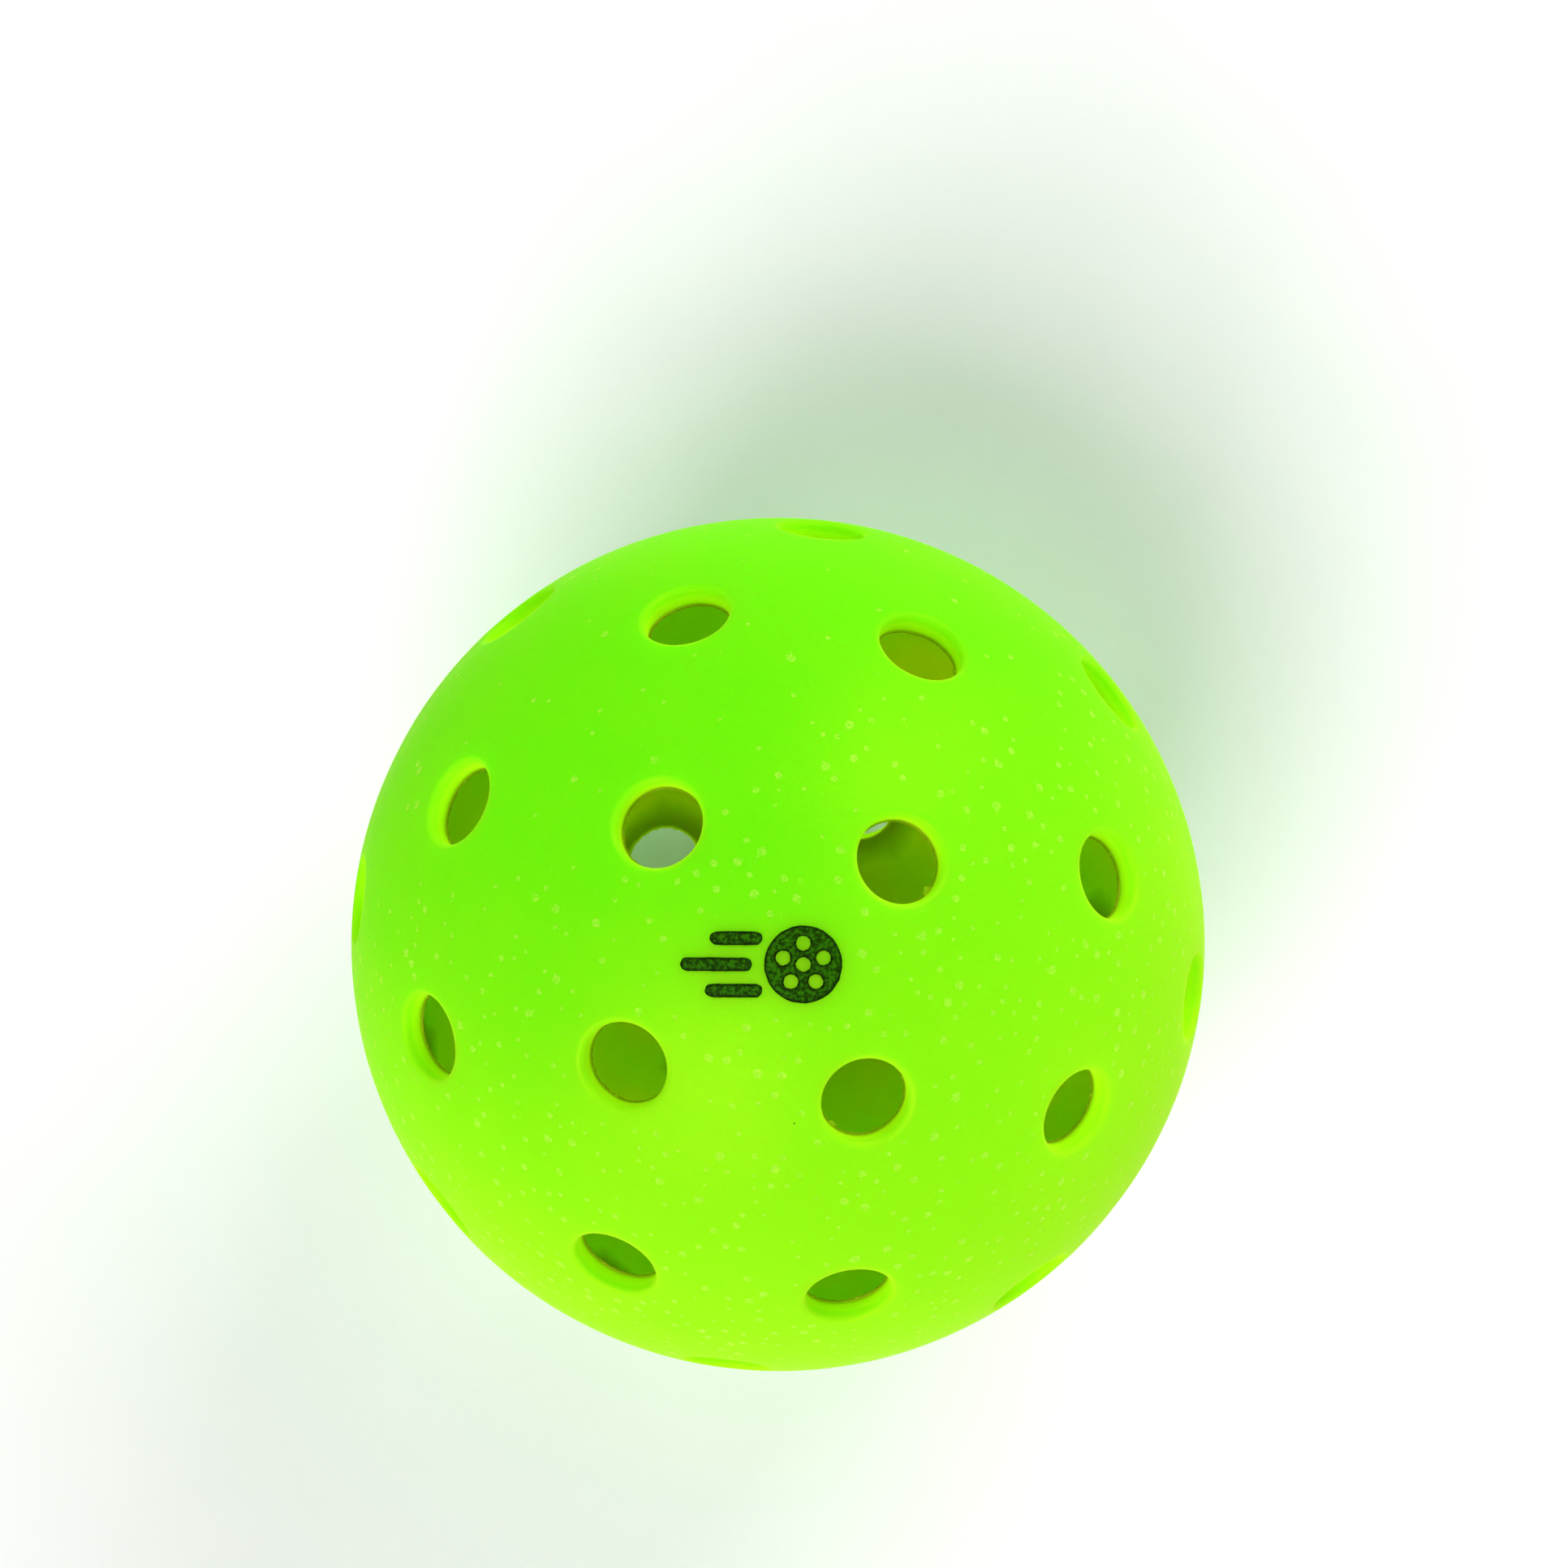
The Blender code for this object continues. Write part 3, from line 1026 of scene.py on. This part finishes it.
@dataclass
class HalfShell:
    """One moulded half shell, with its drilled holes and the pits in its skin.

    Args:
        half: which half it is.
        sizes: the shells' sizes.
        pattern: where its holes are.
        pits: the pits in its skin.
        seed: chooses what is random in it.
        flakes: the curls on its holes' inner edges.
        mouth_rings: how far beyond a hole's mouth each ring of points lies, and how many of the
            hole's own points there are to one of the ring's.
        rim_row: how far above the rim the outside's first row of points lies.
        fill_above: how far above the rim its loose points start.
        pit_beside: how far beyond a hole's mouth a pit's middle may lie.
        pit_edge_beside: how far beyond it a pit's own points may lie.
        fill_beside: how far beyond it the loose points start.
        fill_from_pit: how far from a pit's middle they start.
        swell_rise: how far beside a hole the skin's swell is in full.
        halo_shade: how much painted shade the inside has right beside a hole.
        halo_reach: how far that reaches.
    """

    half: Half
    sizes: ShellSizes
    pattern: HolePattern
    pits: PitField
    seed: int
    flakes: tuple[Flake, ...] = ()
    rim_points: int = 288
    soft_rim: float = 0.12 * MM
    skin_spacing: float = 0.95 * MM
    inside_spacing: float = 1.9 * MM
    mouth_rings: tuple[tuple[float, int], ...] = ((0.14 * MM, 1), (0.36 * MM, 2), (0.80 * MM, 3))
    rim_row: float = 0.5 * MM
    fill_above: float = 1.0 * MM
    pit_beside: float = 0.75 * MM
    pit_edge_beside: float = 0.40 * MM
    fill_beside: float = 1.25 * MM
    fill_from_pit: float = 0.62 * MM
    swell_length: float = 11.0 * MM
    swell_height: float = 0.010 * MM
    swell_rise: float = 2.0 * MM
    # How much painted shade the inside has beside a hole.
    halo_shade: float = 0.65
    halo_reach: float = 1.8 * MM

    def build(self) -> bpy.types.Object:
        """Builds the shell's mesh.

        Returns:
            The shell, in its place.
        """
        self.draw = np.random.default_rng(self.seed)
        self.axes = self.pattern.axes()
        self.holes = [
            DrilledHole(axis, self.sizes, self.draw, tuple(f for f in self.flakes if f.hole == number))
            for number, axis in enumerate(self.axes)
        ]
        book = MeshBook()
        rim_outside, mouths = self._outer_skin(book)
        rim_inside, feet = self._inner_skin(book)
        for hole, mouth, foot in zip(self.holes, mouths, feet):
            hole.line(book, mouth, foot)
        self._close_rim(book, rim_outside, rim_inside)
        turn = self.pattern.turned_over() if self.half is Half.LOWER else None
        return book.finish(f"{self.half.value}_moulding", turn)

    def dress(self, piece: bpy.types.Object, plastic: bpy.types.Material) -> None:
        """Gives the shell its plastic and puts it in its node's place.

        Args:
            piece: the shell.
            plastic: what it is made of.
        """
        piece.data.materials.append(plastic)
        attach(piece, BODY)
        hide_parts(self.half.value)

    def _clear_of_holes(self, points: np.ndarray, reach: float) -> np.ndarray:
        """Whether each direction lies further than this from every hole's axis."""
        return (points @ self.axes.T).max(axis=1) < math.cos(math.asin(reach / self.sizes.radius))

    def _beside_holes(self, towards: np.ndarray, radius: float) -> np.ndarray:
        """How far each direction lies from the nearest hole's axis, along a sphere of this radius."""
        return np.arccos(np.clip((towards @ self.axes.T).max(axis=1), -1.0, 1.0)) * radius

    def _skin(self, book: MeshBook, loops: list[np.ndarray], loose: np.ndarray, radii: np.ndarray,
              gap: float, **values: Any) -> list[np.ndarray]:
        """Adds one side of the wall.

        Args:
            book: the mesh that it goes into.
            loops: the rim's loop and then the holes' loops, as directions.
            loose: the other directions.
            radii: how far from the centre every point is.
            gap: the cosine of the angle that each hole leaves open.
            **values: what the mesh keeps at the points.

        Returns:
            The indices of each loop's points.
        """
        towards = np.concatenate(loops + [loose])
        flat = [part[:, :2] / (1.0 + part[:, 2:3]) for part in loops + [loose]]
        triangles = cover_between(flat[:-1], flat[-1])
        middles = unit(towards[triangles].mean(axis=1))
        kept = triangles[(middles @ self.axes.T).max(axis=1) < gap]
        places = book.add(towards * radii[:, None], **values)
        book.cover(places[kept])
        ends = np.cumsum([len(loop) for loop in loops])
        return [places[end - len(loop):end] for end, loop in zip(ends, loops)]

    def _outer_skin(self, book: MeshBook) -> tuple[np.ndarray, list[np.ndarray]]:
        """Adds the outside, with its pits.

        Args:
            book: the mesh that it goes into.

        Returns:
            The indices of the rim's loop, and those of each hole's loop.
        """
        sizes = self.sizes
        first = self.holes[0]
        loops = [round_the_axis(math.acos((sizes.rim + self.soft_rim) / sizes.radius), self.rim_points)]
        loops += [hole.loop(hole.rim_radius) for hole in self.holes]
        rings = [round_the_axis(math.acos((sizes.rim + self.rim_row) / sizes.radius), self.rim_points)]
        for hole in self.holes:
            rings += [hole.loop(hole.rim_radius + beyond, every) for beyond, every in self.mouth_rings]
        middles = self.pits.middles(self.draw, sizes, self.axes, first.rim_radius + self.pit_beside)
        pit_points, pit_falls, pit_marks = self.pits.points(self.draw, middles, sizes.radius)
        fill = spiral_cover(sizes.radius, self.skin_spacing, sizes.rim + self.fill_above)
        fill = fill[self._clear_of_holes(fill, first.rim_radius + self.fill_beside)]
        fill = fill[(fill @ middles.T).max(axis=1) < math.cos(self.fill_from_pit / sizes.radius)]
        kept = self._clear_of_holes(pit_points, first.rim_radius + self.pit_edge_beside)
        pit_points, pit_falls, pit_marks = pit_points[kept], pit_falls[kept], pit_marks[kept]
        loose = np.concatenate(rings + [pit_points, fill])
        towards = np.concatenate(loops + [loose])
        before = len(towards) - len(pit_points) - len(fill)
        falls, marks = np.zeros(len(towards)), np.zeros(len(towards))
        falls[before:before + len(pit_points)] = pit_falls
        marks[before:before + len(pit_points)] = pit_marks
        swell = Waves(self.seed, self.swell_length, self.swell_height).at(towards * sizes.radius)
        beside = self._beside_holes(towards, sizes.radius)
        swell *= smooth_step(beside, first.rim_radius, first.rim_radius + self.swell_rise)
        gap = math.cos(math.asin(first.rim_radius / sizes.radius))
        made = self._skin(book, loops, loose, sizes.radius + swell - falls, gap, pit=marks)
        return made[0], made[1:]

    @property
    def _inner_end(self) -> float:
        """Where the inside ends.

        Returns:
            The height of the upper half's lip, or of the floor of the lower half's recess.
        """
        if self.half is Half.UPPER:
            return -self.sizes.lap_height
        return self.sizes.lap_height + self.sizes.lap_clearance

    def _inner_skin(self, book: MeshBook) -> tuple[np.ndarray, list[np.ndarray]]:
        """Adds the inside, with a halo of painted shade round each hole.

        Args:
            book: the mesh that it goes into.

        Returns:
            The indices of the rim's loop, and those of each hole's loop.
        """
        first = self.holes[0]
        radius = self.sizes.inner_radius
        reach = first.radius + first.foot
        end = self._inner_end
        loops = [round_the_axis(math.acos(end / radius), self.rim_points)]
        loops += [hole.loop(reach, 1, radius) for hole in self.holes]
        rings = [round_the_axis(math.acos((end + 0.9 * MM) / radius), self.rim_points // 2)]
        rings += [hole.loop(reach + 0.6 * MM, 3, radius) for hole in self.holes]
        fill = spiral_cover(radius, self.inside_spacing, end + 1.8 * MM)
        edge = math.cos(math.asin((reach + 1.4 * MM) / radius))
        fill = fill[(fill @ self.axes.T).max(axis=1) < edge]
        loose = np.concatenate(rings + [fill])
        towards = np.concatenate(loops + [loose])
        beside = self._beside_holes(towards, radius)
        # Painted shade on the inside, darkest right beside each hole.
        hole_shade = self.halo_shade * (1.0 - smooth_step(beside, reach, reach + self.halo_reach))
        gap = math.cos(math.asin(reach / radius))
        radii = np.full(len(towards), radius)
        made = self._skin(book, loops, loose, radii, gap, inner=1.0, edge=hole_shade)
        return made[0], made[1:]

    def _close_rim(self, book: MeshBook, outside: np.ndarray, inside: np.ndarray) -> None:
        """Adds the rim between the outside and the inside, with the lip or its recess.

        Args:
            book: the mesh that it goes into.
            outside: the indices of the outside's loop.
            inside: the indices of the inside's loop.
        """
        sizes = self.sizes
        soft = self.soft_rim / 4.0
        inwards = -1.0 if self.half is Half.UPPER else 1.0
        lap_radius = sizes.mid_radius + inwards * sizes.lap_clearance / 2.0
        steps = [
            (sizes.radius - soft, sizes.rim + soft),
            (sizes.radius - self.soft_rim, sizes.rim),
            (lap_radius, sizes.rim),
            (lap_radius, self._inner_end),
        ]
        flat = round_the_axis(math.pi / 2.0, self.rim_points)
        made = [book.add(flat * reach + np.array((0.0, 0.0, height))) for reach, height in steps]
        book.sleeve([outside, *made, inside])


@dataclass
class WeldSeam:
    """The thin line of plastic that fills the groove between the two half shells."""

    sizes: ShellSizes
    name: str = "weld_seam"
    points_round: int = 432
    bite: float = 0.02 * MM
    dip: float = 0.020 * MM
    crown: float = 0.012 * MM
    corner: float = 0.05 * MM
    swell_length: float = 2.6 * MM
    swell_height: float = 0.014 * MM
    grain: float = 0.004 * MM
    seed: int = 91

    def build(self) -> bpy.types.Object:
        """Builds the line as a closed band with an uneven face.

        Returns:
            The seam, in its place.
        """
        draw = np.random.default_rng(self.seed)
        flat = round_the_axis(math.pi / 2.0, self.points_round)
        swell = Waves(self.seed, self.swell_length, self.swell_height).at(flat * self.sizes.radius)
        swell += draw.normal(0.0, self.grain, self.points_round)
        half_width = self.sizes.rim + self.bite
        floor = self.sizes.mid_radius + self.sizes.lap_clearance / 2.0 + self.bite
        face = self.sizes.radius - self.dip
        outline = (
            (floor, -half_width, 0.0),
            (face - self.corner, -half_width, 0.0),
            (face, -0.45 * half_width, 0.8),
            (face + self.crown, 0.0, 1.0),
            (face, 0.45 * half_width, 0.8),
            (face - self.corner, half_width, 0.0),
            (floor, half_width, 0.0),
        )
        book = MeshBook()
        rings = []
        for reach, height, share in outline:
            ring = flat * (reach + share * swell)[:, None]
            # bore=0.4 gives the seam part of the drilled walls' painted light and painted glow.
            rings.append(book.add(ring + np.array((0.0, 0.0, height)), bore=0.4))
        book.sleeve(rings + rings[:1])
        return book.finish(self.name)

    def dress(self, piece: bpy.types.Object, plastic: bpy.types.Material) -> None:
        """Gives the seam the shells' plastic.

        Args:
            piece: the seam.
            plastic: what it is made of.
        """
        piece.data.materials.append(plastic)
        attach(piece, BODY)


# ---------------------------------------------------------------- the printed mark
@dataclass
class InkFilm:
    """A printed patch: a thin film with a slightly rough outline, wrapped on the pole."""

    radius: float
    seed: int
    stand_off: float = 0.012 * MM
    thickness: float = 0.022 * MM
    outline_step: float = 0.09 * MM
    fill_step: float = 0.17 * MM
    roughness: float = 0.016 * MM
    wander_waves: tuple[float, ...] = (0.5 * MM, 0.9 * MM, 1.6 * MM)
    dark_edge: float = 0.16 * MM

    def __post_init__(self) -> None:
        """Starts the film's random numbers."""
        self.draw = np.random.default_rng(self.seed)

    def flat_of(self, reach: float, node: str) -> float:
        """Where a coordinate of the node's box lies on the flat print."""
        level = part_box(node)[1].z
        return self.radius * math.asin(reach / level)

    def wrap(self, flat: np.ndarray, level: float) -> np.ndarray:
        """Wraps flat points round the pole at a distance from the ball's centre.

        Args:
            flat: rows of two coordinates.
            level: the distance from the centre.

        Returns:
            Rows of three coordinates.
        """
        reach = np.maximum(np.linalg.norm(flat, axis=1), 1e-9)
        polar = reach / self.radius
        side = (np.sin(polar) * level / reach)[:, None]
        return np.concatenate([flat * side, (np.cos(polar) * level)[:, None]], axis=1)

    def roughen(self, outline: np.ndarray) -> np.ndarray:
        """Gives a closed outline the small wander that printed ink has.

        Args:
            outline: flat points, one to a row.

        Returns:
            The same points, each pushed a little in or out.
        """
        size = len(outline)
        length = size * self.outline_step
        wander = self.draw.normal(0.0, 0.45 * self.roughness, size)
        for wave in self.wander_waves:
            count = max(2, round(length / wave))
            start = self.draw.uniform(0.0, 6.28)
            wander += self.roughness * np.sin(count * even_turns(size) + start)
        along = unit(np.roll(outline, -1, axis=0) - np.roll(outline, 1, axis=0))
        across = np.stack([along[:, 1], -along[:, 0]], axis=1)
        return outline + across * wander[:, None]

    def circle(self, centre: tuple[float, float], radius: float) -> np.ndarray:
        """A closed circle.

        Args:
            centre: its centre on the flat print.
            radius: its radius.

        Returns:
            Flat points, one to a row.
        """
        turns = even_turns(max(16, int(WHOLE_TURN * radius / self.outline_step)))
        return np.array(centre) + radius * np.stack([np.cos(turns), np.sin(turns)], axis=1)

    def lay(self, name: str, loops: list[np.ndarray],
            inside: Callable[[np.ndarray], np.ndarray]) -> bpy.types.Object:
        """Builds the film.

        Args:
            name: the piece's name.
            loops: its outline, and then the outlines of what is left open in it.
            inside: how far inside the print flat points are, and below zero where they aren't.

        Returns:
            The film, in its place.
        """
        low, high = loops[0].min(axis=0), loops[0].max(axis=0)
        steps = [np.arange(low[axis], high[axis], self.fill_step) for axis in (0, 1)]
        grid = np.stack(np.meshgrid(*steps), axis=-1).reshape(-1, 2)
        grid += self.draw.uniform(-0.2, 0.2, grid.shape) * self.fill_step
        grid = grid[inside(grid) > 0.75 * self.fill_step]
        flat = np.concatenate(loops + [grid])
        triangles = cover_between([loop / MM for loop in loops], grid / MM)
        kept = triangles[inside(flat[triangles].mean(axis=1)) > -0.02 * MM]
        edge = np.zeros(len(flat))
        on_loops = sum(len(loop) for loop in loops)
        edge[:on_loops] = 1.0
        edge[on_loops:] = 1.0 - smooth_step(inside(grid), 0.3 * self.dark_edge, 1.6 * self.dark_edge)
        book = MeshBook()
        under = self.radius + self.stand_off
        top = book.add(self.wrap(flat, under + self.thickness), edge=edge)
        bottom = book.add(self.wrap(flat, under), edge=edge)
        book.cover(top[kept])
        book.cover(bottom[kept][:, ::-1])
        start = 0
        for loop in loops:
            places = slice(start, start + len(loop))
            book.strip(bottom[places], top[places])
            start += len(loop)
        return book.finish(name)


@dataclass
class PrintedMark:
    """A plain pictogram of a ball in flight: a dimpled disc with three bars behind it."""

    sizes: ShellSizes
    disc_node: str = "mark_ball"
    bar_nodes: tuple[str, ...] = ("mark_bar_upper", "mark_bar_middle", "mark_bar_lower")
    dimple_radius: float = 0.6 * MM
    dimple_circle: float = 3.4 * MM
    dimples_round: int = 5
    seed: int = 300

    def build(self) -> dict[str, bpy.types.Object]:
        """Builds the disc and the bars.

        Returns:
            Each piece, under the name of the node that it stands for.
        """
        pieces = {self.disc_node: self._disc()}
        for number, node in enumerate(self.bar_nodes):
            pieces[node] = self._bar(node, self.seed + 1 + number)
        return pieces

    def dress(self, pieces: dict[str, bpy.types.Object], ink: bpy.types.Material) -> None:
        """Gives every printed piece the ink and puts it in its node's place.

        Args:
            pieces: each piece, under the name of its node.
            ink: what they are printed with.
        """
        for node, piece in pieces.items():
            piece.data.materials.append(ink)
            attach(piece, BODY)
            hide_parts(node)

    def _disc(self) -> bpy.types.Object:
        """Builds the printed ball, with its dimples left open.

        Returns:
            The disc, in its place.
        """
        film = InkFilm(self.sizes.radius, self.seed)
        low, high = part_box(self.disc_node)
        left, right = film.flat_of(low.x, self.disc_node), film.flat_of(high.x, self.disc_node)
        centre = ((left + right) / 2.0, 0.0)
        radius = (right - left) / 2.0
        middles = [centre]
        for place in range(self.dimples_round):
            turn = math.radians(90.0 + 360.0 * place / self.dimples_round)
            reach = self.dimple_circle / 2.0
            middles.append((centre[0] + reach * math.cos(turn), centre[1] + reach * math.sin(turn)))
        loops = [film.roughen(film.circle(centre, radius))]
        loops += [film.roughen(film.circle(middle, self.dimple_radius)) for middle in middles]

        def inside(flat: np.ndarray) -> np.ndarray:
            """Measures the disc.

            Args:
                flat: points on the flat print.

            Returns:
                How far inside the disc and outside its dimples each point is.
            """
            depth = radius - np.linalg.norm(flat - np.array(centre), axis=-1)
            for middle in middles:
                clear = np.linalg.norm(flat - np.array(middle), axis=-1) - self.dimple_radius
                depth = np.minimum(depth, clear)
            return depth

        return film.lay(f"{self.disc_node}_print", loops, inside)

    def _bar(self, node: str, seed: int) -> bpy.types.Object:
        """Builds one printed bar, with round ends.

        Args:
            node: the node that it stands for.
            seed: chooses the roughness of its outline.

        Returns:
            The bar, in its place.
        """
        film = InkFilm(self.sizes.radius, seed)
        low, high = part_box(node)
        left, right = film.flat_of(low.x, node), film.flat_of(high.x, node)
        bottom, top = film.flat_of(low.y, node), film.flat_of(high.y, node)
        half_width = (top - bottom) / 2.0
        height = (top + bottom) / 2.0
        start, end = left + half_width, right - half_width
        along = np.arange(start, end, film.outline_step)
        bend = np.arange(0.0, math.pi, film.outline_step / half_width)
        outline = np.concatenate([
            np.stack([along, np.full(len(along), height - half_width)], axis=1),
            np.stack([end + half_width * np.sin(bend), height - half_width * np.cos(bend)], axis=1),
            np.stack([along[::-1], np.full(len(along), height + half_width)], axis=1),
            np.stack([start - half_width * np.sin(bend), height + half_width * np.cos(bend)], axis=1),
        ])
        apart = np.linalg.norm(outline - np.roll(outline, 1, axis=0), axis=1)
        outline = outline[apart > 0.3 * film.outline_step]

        def inside(flat: np.ndarray) -> np.ndarray:
            """Measures the bar.

            Args:
                flat: points on the flat print.

            Returns:
                How far inside the bar each point is.
            """
            nearest = np.clip(flat[..., 0], start, end)
            reach = np.hypot(flat[..., 0] - nearest, flat[..., 1] - height)
            return half_width - reach

        return film.lay(f"{node}_print", [film.roughen(outline)], inside)


# ---------------------------------------------------------------- the studio
@dataclass(frozen=True)
class StudioFloor:
    """A round sheet of paper that lies flat under the ball and curves up all round it."""

    height: float
    flat_radius: float = 0.60
    bend_radius: float = 0.25
    wall_height: float = 0.12
    segments: int = 96
    bend_steps: int = 14

    def build(self, paper: bpy.types.Material) -> bpy.types.Object:
        """Builds the sheet.

        Args:
            paper: what it is made of.

        Returns:
            The floor.
        """
        profile = [(self.flat_radius * share, 0.0) for share in (0.1, 0.4, 1.0)]
        for step in range(1, self.bend_steps + 1):
            turn = math.pi / 2.0 * step / self.bend_steps
            reach = self.flat_radius + self.bend_radius * math.sin(turn)
            profile.append((reach, self.bend_radius * (1.0 - math.cos(turn))))
        profile.append((profile[-1][0], profile[-1][1] + self.wall_height))
        flat = round_the_axis(math.pi / 2.0, self.segments)
        book = MeshBook()
        rings = [
            book.add(flat * reach + np.array((0.0, 0.0, self.height + rise)))
            for reach, rise in profile
        ]
        book.faces.append(rings[0].tolist())
        book.sleeve(rings)
        floor = book.finish("studio_floor")
        floor.data.materials.append(paper)
        return floor


@dataclass(frozen=True)
class Softbox:
    """A square soft light that faces the ball.

    Args:
        name: the light's name.
        towards: its direction from the ball.
        distance: how far away it is.
        size: its side.
        power: its strength in watts.
    """

    name: str
    towards: Triple
    distance: float
    size: float
    power: float

    def build(self) -> bpy.types.Object:
        """Hangs the light.

        Returns:
            The light.
        """
        lamp = bpy.data.lights.new(self.name, "AREA")
        lamp.shape = "SQUARE"
        lamp.size = self.size
        lamp.energy = self.power
        light = add_to_scene(self.name, lamp)
        back = Vector(self.towards).normalized()
        light.location = back * self.distance
        light.rotation_mode = "QUATERNION"
        light.rotation_quaternion = (-back).to_track_quat("-Z", "Y")
        light.visible_camera = False
        return light


@dataclass(frozen=True)
class Studio:
    """The lights and the white surroundings."""

    surroundings: float = 0.12
    softboxes: tuple[Softbox, ...] = (
        Softbox("key_softbox", (0.45, 0.69, 0.56), 0.85, 0.45, 3.9),
        Softbox("near_softbox", (-0.25, -0.56, 0.79), 2.00, 1.30, 35.5),
    )

    def build(self) -> None:
        """Sets the surroundings and hangs the lights."""
        world = bpy.data.worlds.new("white_surroundings")
        world.use_nodes = True
        back = world.node_tree.nodes["Background"]
        back.inputs["Color"].default_value = rgb(1.0, 1.0, 1.0)
        back.inputs["Strength"].default_value = self.surroundings
        bpy.context.scene.world = world
        bpy.context.scene.view_settings.view_transform = "Standard"
        for softbox in self.softboxes:
            softbox.build()


@dataclass(frozen=True)
class PictureCamera:
    """A long lens that looks down on the upper pole, with +Y up the picture.

    Args:
        right_of_pole: how far it stands off the pole towards +X, in degrees.
        up_of_pole: how far it stands off the pole towards +Y, in degrees.
        distances: its distance from the ball's centre, in ball radii.
        lens: its focal length in millimetres, for a sensor 36 mm wide.
        shift: how far the picture is shifted to the right and up, as shares of its width.
    """

    right_of_pole: float = 2.138
    up_of_pole: float = 2.489
    distances: float = 12.0
    lens: float = 117.16
    shift: tuple[float, float] = (0.0038, 0.1023)

    def build(self, radius: float) -> bpy.types.Object:
        """Makes the scene's camera.

        Args:
            radius: the ball's radius.

        Returns:
            The camera.
        """
        side, rise = math.radians(self.right_of_pole), math.radians(self.up_of_pole)
        back = Vector((math.sin(side) * math.cos(rise), math.sin(rise), math.cos(side) * math.cos(rise)))
        right = Vector((0.0, 1.0, 0.0)).cross(back).normalized()
        up = back.cross(right)
        lens = bpy.data.cameras.new("picture_camera")
        lens.sensor_width = 36.0
        lens.lens = self.lens
        lens.shift_x, lens.shift_y = self.shift
        lens.clip_start, lens.clip_end = 0.01, 10.0
        camera = add_to_scene("picture_camera", lens)
        facing = Matrix((right, up, back)).transposed().to_4x4()
        camera.matrix_world = Matrix.Translation(back * self.distances * radius) @ facing
        bpy.context.scene.camera = camera
        return camera


def report_piece(piece: bpy.types.Object) -> None:
    """Logs a piece's name and how many faces it has."""
    log.info("%s: %d faces", piece.name, len(piece.data.polygons))


def main() -> None:
    """Builds the studio and the ball."""
    logging.basicConfig(level=logging.INFO, format="%(name)s: %(message)s")
    sizes = ShellSizes.from_frame()
    pattern = HolePattern()
    PictureCamera().build(sizes.radius)
    Studio().build()
    StudioFloor(height=-sizes.radius).build(StudioPaper().make())
    plastic, ink = MouldedPlastic().make(), PrintingInk().make()

    flakes = (Flake(0, -37.0), Flake(3, 225.0, 0.30 * MM, 7.0), Flake(8, 180.0, 0.50 * MM, 10.0))
    upper_pits = PitField(2600, thin_side=(-0.35, 1.0, 0.0), keep_clear=(7.4 * MM, 3.9 * MM))
    lower_pits = PitField(1500)
    lower_flakes = (Flake(1, 60.0), Flake(6, 200.0, 0.35 * MM), Flake(13, 310.0, 0.3 * MM))
    for shell in (
        HalfShell(Half.UPPER, sizes, pattern, upper_pits, 11, flakes),
        HalfShell(Half.LOWER, sizes, pattern, lower_pits, 12, lower_flakes),
    ):
        piece = shell.build()
        shell.dress(piece, plastic)
        report_piece(piece)

    seam = WeldSeam(sizes)
    line = seam.build()
    seam.dress(line, plastic)
    report_piece(line)

    mark = PrintedMark(sizes)
    pieces = mark.build()
    mark.dress(pieces, ink)
    for piece in pieces.values():
        report_piece(piece)


if __name__ == "__main__":
    main()
